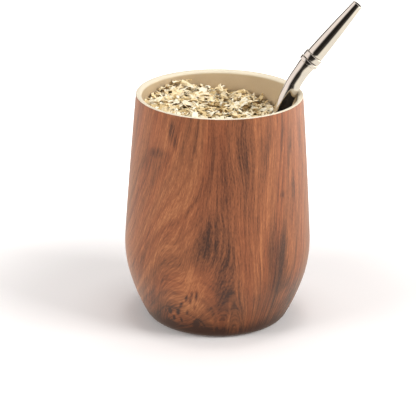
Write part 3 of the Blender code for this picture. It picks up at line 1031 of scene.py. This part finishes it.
@dataclass(frozen=True)
class ChipMaker:
    """Cuts chips of dried leaf: bent, twisted and torn round their edge."""

    thickness: float = 0.18
    tear: float = 0.18
    ripple: float = 0.06
    points: Point = (0.35, 0.95)

    def cut(
        self, kind: ChipKind, draw: random.Random, steps: tuple[int, int], size: Point | None = None
    ) -> Mesh:
        """Makes one chip about the origin, long in X, in metres.

        Args:
            kind: Which kind of chip.
            draw: Where its sizes come from.
            steps: How many faces it has along and across.
            size: Its length and width in millimetres, where they are known.

        Returns:
            The chip's mesh.
        """
        lengths, widths, curl, twist = kind.value
        length, width = size or (draw.uniform(*lengths), draw.uniform(*widths))
        bend = draw.uniform(0.3, 1.0) * curl
        cup = draw.uniform(-0.6, 1.0) * curl
        turn = draw.uniform(-1.0, 1.0) * twist
        point = draw.uniform(*self.points)
        bm = bmesh.new()
        bmesh.ops.create_grid(bm, x_segments=steps[0], y_segments=steps[1], size=0.5)
        for vert in bm.verts:
            x, y = 2 * vert.co.x, 2 * vert.co.y
            rim = max(abs(x), abs(y)) > 0.99
            torn = 1 + (draw.uniform(-self.tear, self.tear) if rim else 0.0)
            narrowed = 1 - (1 - point) * max(0.0, x) ** 2 - 0.25 * max(0.0, -x) ** 3
            across = y * narrowed * torn * width / 2
            along = x * torn * length / 2
            arch = bend * length / 8 * (1 - x * x) + cup * width / 8 * (1 - y * y)
            lift = arch + across * math.sin(turn * x) + draw.uniform(-self.ripple, self.ripple) * width
            vert.co = Vector((along, across * math.cos(turn * x), lift)) * MM
        bmesh.ops.solidify(bm, geom=bm.faces[:], thickness=self.thickness * MM)
        face_outwards(bm)
        mesh = bpy.data.meshes.new("chip")
        bm.to_mesh(mesh)
        bm.free()
        return mesh


@dataclass(frozen=True)
class Flake:
    """A large flake on the heap: its place and size in millimetres, the way it points and leans forwards in
    degrees, and its tone."""

    across: float
    along: float
    size: Point
    turn: float
    lean: float
    tone: float


class Gathering:
    """Many copies of small shapes gathered in one mesh, each with a tone of its own."""

    def __init__(self) -> None:
        """Starts with nothing."""
        self.bm = bmesh.new()
        self.tones: list[float] = []

    def add(self, shape: Mesh, place: Matrix, tone: float) -> None:
        """Puts a copy of a shape at a place."""
        copy = shape.copy()
        copy.transform(place)
        self.bm.from_mesh(copy)
        self.tones += [tone] * len(copy.vertices)
        bpy.data.meshes.remove(copy)

    def finish(self, name: str, material: Material) -> Piece:
        """Makes the piece, with the tones as an attribute of its points."""
        piece = new_piece(name, self.bm, material, 50.0)
        give_values(piece, TONE, self.tones)
        return piece


@dataclass
class PileTop:
    """The height of the pile over a grid, as pieces are laid on it."""

    cell: float = 0.0005
    reach: float = 0.040
    heights: dict[tuple[int, int], float] = field(default_factory=dict)

    def key(self, x: float, y: float) -> tuple[int, int]:
        """The grid cell of a place."""
        return math.floor(x / self.cell), math.floor(y / self.cell)

    def at(self, x: float, y: float) -> float:
        """The pile's height at a place."""
        return self.heights[self.key(x, y)]

    def raise_to(self, points: Iterable[Vector]) -> None:
        """Lets the pile reach the points."""
        for point in points:
            key = self.key(point.x, point.y)
            self.heights[key] = max(self.heights[key], point.z)


@dataclass
class YerbaHeap:
    """The yerba that fills the cup: a core of dust, its dark colour painted shade for the gaps between the
    pieces, and chips, stems and crumbs piled on it.
    """

    seed: int = 7
    depth: float = 0.0094
    slope: float = 0.115
    sag: float = 2.2
    mound_height: float = 0.0019
    mound_at: Vector = field(default_factory=lambda: Vector((-0.017, 0.010)))
    mound_reach: float = 0.015
    chip_layer: float = 0.0026
    core_tone: float = 0.45
    core_sides: int = 144
    core_rings: int = 48
    core_roughness: float = 0.00035
    core_grain: float = 0.0016
    chips: int = 2400
    chip_tilt: float = math.radians(20)
    chip_tries: int = 5
    stems: int = 60
    stem_shapes: int = 14
    stem_lengths: Point = (5.0, 12.0)
    stem_radii: Point = (0.35, 0.70)
    stem_tones: Point = (0.35, 0.95)
    stem_tilt: float = math.radians(7)
    stem_tries: int = 4
    long_stem_tone: float = 0.85
    crumbs: int = 700
    crumb_shapes: int = 14
    crumb_tilt: float = math.radians(30)
    crumb_tries: int = 3
    leaf_tones: Point = (0.69, 0.29)
    darkest_leaf: float = 0.04
    flakes: tuple[Flake, ...] = (
        Flake(-10.1, 18.4, (7.2, 5.0), -14, 34, 0.78),
        Flake(-26.0, -2.6, (6.2, 3.6), 18, 20, 0.52),
        Flake(13.2, 19.9, (5.2, 3.8), 12, 38, 0.86),
        Flake(7.8, 27.4, (6.4, 3.2), 14, 40, 0.74),
        Flake(-20.2, -9.7, (9.0, 2.8), -4, 14, 0.98),
        Flake(-13.9, 3.5, (7.0, 2.8), -12, 24, 0.92),
        Flake(-20.0, 19.9, (6.2, 3.8), 22, 32, 0.72),
        Flake(8.2, 16.0, (4.4, 2.8), 32, 30, 0.96),
    )
    long_stems: tuple[tuple[Sequence[float], Sequence[float], float], ...] = (
        ((-18.3, 28.0, -3.1), (-7.4, 23.6, -7.0), 1.0),
        ((-0.2, 29.0, -7.4), (5.2, 27.0, -9.1), 0.6),
    )
    straw: StrawLine = field(default_factory=StrawLine)
    straw_room: float = 0.0046
    wall_room: float = 0.0002
    headroom: float = 0.0011
    flake_sunk: float = 0.0003
    spread_radius: float = 0.0368
    reach_radius: float = 0.0385
    inward_shares: tuple[float, ...] = (1.0, 0.95, 0.89)
    sunk_share: float = 0.72

    def __post_init__(self) -> None:
        """Prepares the wall's radii and the pile's first heights."""
        wall = inner_wall()
        self.wall_low, self.wall_step = CUP_HEIGHT - 0.020, 0.0005
        self.wall_radii = [wall.radius_at(self.wall_low + index * self.wall_step) for index in range(44)]
        self.draw = random.Random(self.seed)
        self.top = PileTop()
        cells = math.ceil(self.top.reach / self.top.cell)
        for i in range(-cells, cells):
            for j in range(-cells, cells):
                x, y = (i + 0.5) * self.top.cell, (j + 0.5) * self.top.cell
                self.top.heights[i, j] = self.surface(x, y) - self.chip_layer

    def surface(self, x: float, y: float) -> float:
        """Height to which the pieces pile up at a place."""
        mound = math.exp(-((Vector((x, y)) - self.mound_at).length_squared) / (2 * self.mound_reach**2))
        return CUP_HEIGHT - (self.depth + self.slope * x + self.sag * x * x - self.mound_height * mound)

    def clear(self, points: Iterable[Vector]) -> bool:
        """True where all points keep clear of the lining and the straw."""
        for point in points:
            index = round((point.z - self.wall_low) / self.wall_step)
            wall = self.wall_radii[min(max(index, 0), len(self.wall_radii) - 1)]
            if point.xy.length > wall - self.wall_room or self.straw.distance(point) < self.straw_room:
                return False
        return True

    def lowest_spot(self, tries: int) -> Point | None:
        """The place, of some drawn at random, where the pile is furthest under its surface, if one is."""
        best, depth = (0.0, 0.0), -1.0
        for _ in range(tries):
            angle, radius = self.draw.uniform(0, TURN), self.spread_radius * math.sqrt(self.draw.random())
            x, y = radius * math.cos(angle), radius * math.sin(angle)
            here = self.surface(x, y) - self.top.at(x, y)
            if here > depth:
                best, depth = (x, y), here
        return best if depth > self.headroom else None

    def lay(self, gathering: Gathering, shape: Mesh, tilt: float, tone: float, tries: int) -> bool:
        """Lays a piece on the pile where it is low.

        Args:
            gathering: What the piece is added to.
            shape: The piece's mesh, about the origin.
            tilt: How far it may lean, in radians.
            tone: Its tone.
            tries: How many places are compared.

        Returns:
            True if it found room.
        """
        draw = self.draw
        spot = self.lowest_spot(tries)
        if not spot:
            return False
        x, y = spot
        turn = Euler((draw.gauss(0, tilt), draw.gauss(0, tilt), draw.uniform(0, TURN)))
        points = self.samples(shape)
        for share in self.inward_shares:
            place = Matrix.LocRotScale(Vector((x * share, y * share, 0)), turn, None)
            held = [place @ point for point in points]
            if any(point.xy.length > self.reach_radius for point in held):
                continue
            rests = sorted(self.top.at(point.x, point.y) - point.z for point in held)
            place.translation.z = rests[int(self.sunk_share * len(rests))]
            held = [place @ point for point in points]
            if self.clear(held):
                gathering.add(shape, place, tone)
                self.top.raise_to(held)
                return True
        return False

    def samples(self, shape: Mesh) -> list[Vector]:
        """Points all over a piece: its corners, and the middles of its edges and faces."""
        corners = [vert.co for vert in shape.vertices]
        middles = [(corners[edge.vertices[0]] + corners[edge.vertices[1]]) / 2 for edge in shape.edges]
        return [*corners, *middles, *(face.center for face in shape.polygons)]

    def lay_by_hand(self, gathering: Gathering, shape: Mesh, place: Matrix, tone: float) -> None:
        """Puts a piece at a place, and lets the pile reach it."""
        gathering.add(shape, place, tone)
        self.top.raise_to(place @ point for point in self.samples(shape))

    def build_core(self) -> None:
        """The dust and leaves under the pieces, as one body with a rough top, dark with painted shade."""
        wall = inner_wall(-GAP)
        brim = CUP_HEIGHT - 2.2 * self.depth
        side = wall.outline(brim, 0.006)
        edge = wall.radius_at(CUP_HEIGHT - self.depth - self.chip_layer)
        rings = [(edge * (1 - ring / self.core_rings), CUP_HEIGHT) for ring in range(self.core_rings + 1)]
        bm = turned([(0.0, wall.base()), *side, *rings], self.core_sides)
        for vert in bm.verts:
            if vert.co.z > brim + GAP:
                rough = self.core_roughness * noise.fractal(vert.co / self.core_grain, 0.8, 2.0, 3)
                vert.co.z = self.surface(vert.co.x, vert.co.y) - self.chip_layer + rough
        # The dark dust colours paint the shade in the gaps between the pieces.
        piece = new_piece("yerba_core", bm, DriedLeaf("yerba_dust_and_shade", DUST_AND_SHADE_STOPS, 1.2, 0.5, 0.3).build())
        give_values(piece, TONE, [self.core_tone] * len(piece.data.vertices))
        settle(piece, "dried_leaf", "yerba_heap")

    def build_chips(self) -> None:
        """The chips of leaf, broad, curled and shredded."""
        draw, maker, gathering = self.draw, ChipMaker(), Gathering()
        kinds = [ChipKind.BROAD] * 7 + [ChipKind.CURLED] * 9 + [ChipKind.SHRED] * 8
        shapes = [maker.cut(kind, draw, (4, 2)) for kind in kinds]
        for flake in self.flakes:
            x, y = flake.across * MM, flake.along * MM
            lean = Matrix.Rotation(math.radians(flake.lean), 3, "X")
            turn = (lean @ Matrix.Rotation(math.radians(flake.turn), 3, "Z")).to_quaternion()
            spot = Vector((x, y, self.surface(x, y) - self.flake_sunk))
            shape = maker.cut(ChipKind.FLAKE, draw, (6, 4), flake.size)
            self.lay_by_hand(gathering, shape, Matrix.LocRotScale(spot, turn, None), flake.tone)
        laid = 0
        for _ in range(self.chips):
            shape, tone = draw.choice(shapes), self.leaf_tone()
            laid += self.lay(gathering, shape, self.chip_tilt, tone, self.chip_tries)
        log.info("%d of %d chips found room", laid, self.chips)
        piece = gathering.finish("yerba_chips", DriedLeaf("yerba_leaf", LEAF_STOPS).build())
        settle(piece, "dried_leaf", "yerba_heap")

    def leaf_tone(self) -> float:
        """A chip's tone: most are pale, and some are olive or brown."""
        return min(max(self.draw.gauss(*self.leaf_tones), self.darkest_leaf), 1.0)

    def stem_shape(self, length: float, radius: float) -> Mesh:
        """A bit of stem along X, thinner at one end, with cut ends."""
        bm = bmesh.new()
        bmesh.ops.create_cone(
            bm, cap_ends=True, segments=8, radius1=radius, radius2=radius * 0.82, depth=length,
            matrix=Matrix.Rotation(math.pi / 2, 4, "Y"),
        )
        rungs = [edge for edge in bm.edges if abs(edge.verts[0].co.x - edge.verts[1].co.x) > length / 2]
        bmesh.ops.subdivide_edges(bm, edges=rungs, cuts=4)
        bow = self.draw.uniform(-0.05, 0.05) * length
        for vert in bm.verts:
            share = vert.co.x / (length / 2)
            vert.co.z += bow * (1 - share * share)
            vert.co.y += 0.1 * radius * math.sin(9 * share)
        mesh = bpy.data.meshes.new("stem")
        bm.to_mesh(mesh)
        bm.free()
        return mesh

    def build_stems(self) -> None:
        """The bits of stem, with the long ones that show at the back laid at listed places."""
        draw, gathering = self.draw, Gathering()
        for low, high, radius in self.long_stems:
            low, high = (Vector((x * MM, y * MM, CUP_HEIGHT + z * MM)) for x, y, z in (low, high))
            turn = (high - low).to_track_quat("X", "Z")
            shape = self.stem_shape((high - low).length, radius * MM)
            place = Matrix.LocRotScale((low + high) / 2, turn, None)
            self.lay_by_hand(gathering, shape, place, self.long_stem_tone)
        ranges = (self.stem_lengths, self.stem_radii)
        sizes = ([draw.uniform(*span) for span in ranges] for _ in range(self.stem_shapes))
        shapes = [self.stem_shape(length * MM, radius * MM) for length, radius in sizes]
        for _ in range(self.stems):
            shape, tone = draw.choice(shapes), draw.uniform(*self.stem_tones)
            self.lay(gathering, shape, self.stem_tilt, tone, self.stem_tries)
        piece = gathering.finish("yerba_stems", DriedLeaf("yerba_stem", STEM_STOPS, 1.5, 0.2, 0.08).build())
        settle(piece, "dried_leaf", "yerba_heap")

    def build_crumbs(self) -> None:
        """The crumbs of leaf that lie between and on the chips."""
        draw, maker, gathering = self.draw, ChipMaker(0.30, 0.3), Gathering()
        shapes = [maker.cut(ChipKind.CRUMB, draw, (2, 1)) for _ in range(self.crumb_shapes)]
        for _ in range(self.crumbs):
            shape, tone = draw.choice(shapes), self.leaf_tone()
            self.lay(gathering, shape, self.crumb_tilt, tone, self.crumb_tries)
        piece = gathering.finish("yerba_crumbs", bpy.data.materials["yerba_leaf"])
        settle(piece, "dried_leaf", "yerba_heap")

    def build(self) -> None:
        """Makes the heap."""
        self.build_core()
        self.build_stems()
        self.build_chips()
        self.build_crumbs()


@dataclass(frozen=True)
class Softbox:
    """A soft light that faces the cup."""

    name: str
    place: tuple[float, float, float]
    size: Point
    power: float

    def light(self, target: Vector) -> None:
        """Hangs the light and turns it to the target."""
        data = bpy.data.lights.new(self.name, "AREA")
        data.shape = "RECTANGLE"
        data.size, data.size_y = self.size
        data.energy = self.power
        lamp = bpy.data.objects.new(self.name, data)
        lamp.location = self.place
        lamp.rotation_euler = (target - lamp.location).to_track_quat("-Z", "Y").to_euler()
        lamp.visible_camera = lamp.visible_glossy = False
        bpy.context.scene.collection.objects.link(lamp)


@dataclass
class Studio:
    """A white table and soft white light all round, with the dark room behind the camera."""

    floor_size: float = 8.0
    target: Vector = field(default_factory=lambda: Vector((0.0, 0.0, 0.06)))
    lights: tuple[Softbox, ...] = (
        Softbox("overhead_softbox", (0.05, 0.05, 1.10), (0.45, 0.45), 3.6),
        Softbox("left_softbox", (-0.9, -0.55, 0.50), (0.5, 0.5), 6.0),
        Softbox("right_softbox", (0.9, -0.45, 0.60), (0.5, 0.5), 9.5),
    )
    ambient: float = 0.34
    room: tuple[tuple[float, tuple[float, float, float]], ...] = (
        (-180, (0.60, 0.56, 0.52)),
        (-160, (0.30, 0.28, 0.26)),
        (-152, (0.03, 0.03, 0.03)),
        (-137, (0.03, 0.03, 0.03)),
        (-126, (1.15, 1.05, 1.00)),
        (-66, (1.15, 1.05, 1.00)),
        (-43, (0.03, 0.027, 0.024)),
        (-10, (0.015, 0.013, 0.01)),
        (29, (0.09, 0.08, 0.07)),
        (62, (1.20, 1.12, 1.05)),
        (130, (1.20, 1.12, 1.05)),
        (180, (0.60, 0.56, 0.52)),
    )
    table_colour: Light = (0.93, 0.90, 0.885, 1.0)
    # The gloss and dark colours, the end and the glare below paint the reflection that mirrored rays see on
    # the table.
    table_gloss: Light = (1.14, 1.08, 0.96, 1.0)
    painted_dark_reflection: Light = (0.05, 0.045, 0.04, 1.0)
    glow_colour: Light = (1.0, 0.97, 0.95, 1.0)
    glow: Point = (0.06, 0.8)
    painted_dark_ahead: Point = (0.20, 0.48)
    glare_rise: Point = (0.20, 0.55)
    right_glare: float = 3.0
    glow_from: float = 0.078
    glow_to: float = 0.23
    bounce_loss: float = 0.6

    def build_world(self) -> None:
        """White for the camera, brighter above than below for the cup, and round its gloss a room: bright at
        the left and right, dark in front and grey behind."""
        world = bpy.data.worlds.new("studio")
        bpy.context.scene.world = world
        world.use_nodes = True
        graph = Graph(world.node_tree)
        room = world.node_tree.nodes["Background"]
        direction = graph.add("TexCoord").outputs["Generated"]
        parts = graph.parts(direction)
        paths = graph.add("LightPath").outputs
        height = graph.spread(parts[2], -0.6, 0.5, 0.25 * self.ambient, self.ambient)
        azimuth = graph.maths("ARCTAN2", parts[0], graph.maths("MULTIPLY", parts[1], -1.0))
        stops = [(angle / 360 + 0.5, (*colour, 1.0)) for angle, colour in self.room]
        gloss = graph.ramp(graph.maths("MULTIPLY_ADD", azimuth, 1 / TURN, 0.5), stops)
        lit = graph.mixed(paths["Is Glossy Ray"], graph.joined(height, height, height), gloss)
        graph.feed(room.inputs["Color"], graph.mixed(paths["Is Camera Ray"], lit, (1.0, 1.0, 1.0, 1.0)))

    def build_floor(self) -> None:
        """The white table. Mirrored rays see a painted reflection on it instead: dark in front, where the
        dark room begins, and brighter to the right.
        """
        bm = bmesh.new()
        bmesh.ops.create_grid(bm, x_segments=1, y_segments=1, size=self.floor_size / 2)
        material, graph, shader = new_surface("white_table")
        place = graph.add("TexCoord").outputs["Object"]
        parts = graph.parts(place)
        away = graph.add("VectorMath", {0: place}, operation="LENGTH").outputs["Value"]
        feeds = {
            "Base Color": self.table_colour,
            "Roughness": 0.9,
            "Specular IOR Level": 0.0,
            "Emission Color": self.glow_colour,
            "Emission Strength": graph.spread(away, self.glow_from, self.glow_to, *self.glow),
        }
        graph.dress(shader, feeds)
        # Painted reflection for mirrored rays: light, dark in front, and brighter to the right.
        ahead = graph.spread(graph.maths("MULTIPLY", parts[1], -1.0), *self.painted_dark_ahead)
        aside = graph.spread(parts[0], *self.glare_rise, 1.0, self.right_glare)
        gloss = {"Color": graph.mixed(ahead, self.table_gloss, self.painted_dark_reflection), "Strength": aside}
        mirrored = graph.add("Emission", gloss).outputs[0]
        paths = graph.add("LightPath").outputs
        absorbed = graph.maths("MULTIPLY", paths["Is Diffuse Ray"], self.bounce_loss)
        dimmed = graph.add("MixShader", {0: absorbed, 1: shader.outputs[0]}).outputs[0]
        mixed = graph.add("MixShader", {0: paths["Is Glossy Ray"], 1: dimmed, 2: mirrored}).outputs[0]
        graph.feed(material.node_tree.nodes["Material Output"].inputs["Surface"], mixed)
        floor = new_piece("table", bm, material)

    def build(self) -> None:
        """Makes the studio."""
        bpy.context.scene.view_settings.view_transform = "Standard"
        self.build_world()
        self.build_floor()
        for light in self.lights:
            light.light(self.target)


@dataclass(frozen=True)
class PhotoCamera:
    """The photograph's camera: a long lens that looks down on the cup, with its aim a hair off the middle."""

    distance: float = 1.0
    elevation: float = math.radians(20.533)
    yaw: float = math.radians(0.2711)
    pitch: float = math.radians(-0.1107)
    roll: float = math.radians(-0.8756)
    lens: float = 180.6
    sensor: float = 36.0

    def place(self) -> None:
        """Makes the scene's camera."""
        data = bpy.data.cameras.new("photo_camera")
        data.lens, data.sensor_width = self.lens, self.sensor
        data.clip_start, data.clip_end = 0.01, 50.0
        camera = bpy.data.objects.new("photo_camera", data)
        middle = Vector((0, 0, CUP_HEIGHT / 2))
        back = Vector((0, -math.cos(self.elevation), math.sin(self.elevation))) * self.distance
        aim = Matrix.Rotation(math.pi / 2 - self.elevation, 4, "X")
        aim @= Matrix.Rotation(self.yaw, 4, "Y") @ Matrix.Rotation(self.pitch, 4, "X")
        aim @= Matrix.Rotation(-self.roll, 4, "Z")
        camera.matrix_world = Matrix.Translation(middle + back) @ aim
        bpy.context.scene.collection.objects.link(camera)
        bpy.context.scene.camera = camera


def main() -> None:
    """Builds the drink and the studio."""
    logging.basicConfig(level=logging.INFO, format="%(name)s: %(message)s")
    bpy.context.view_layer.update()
    PhotoCamera().place()
    WoodShell().build()
    CreamLining().build()
    Bombilla().build()
    YerbaHeap().build()
    Studio().build()


if __name__ == "__main__":
    main()
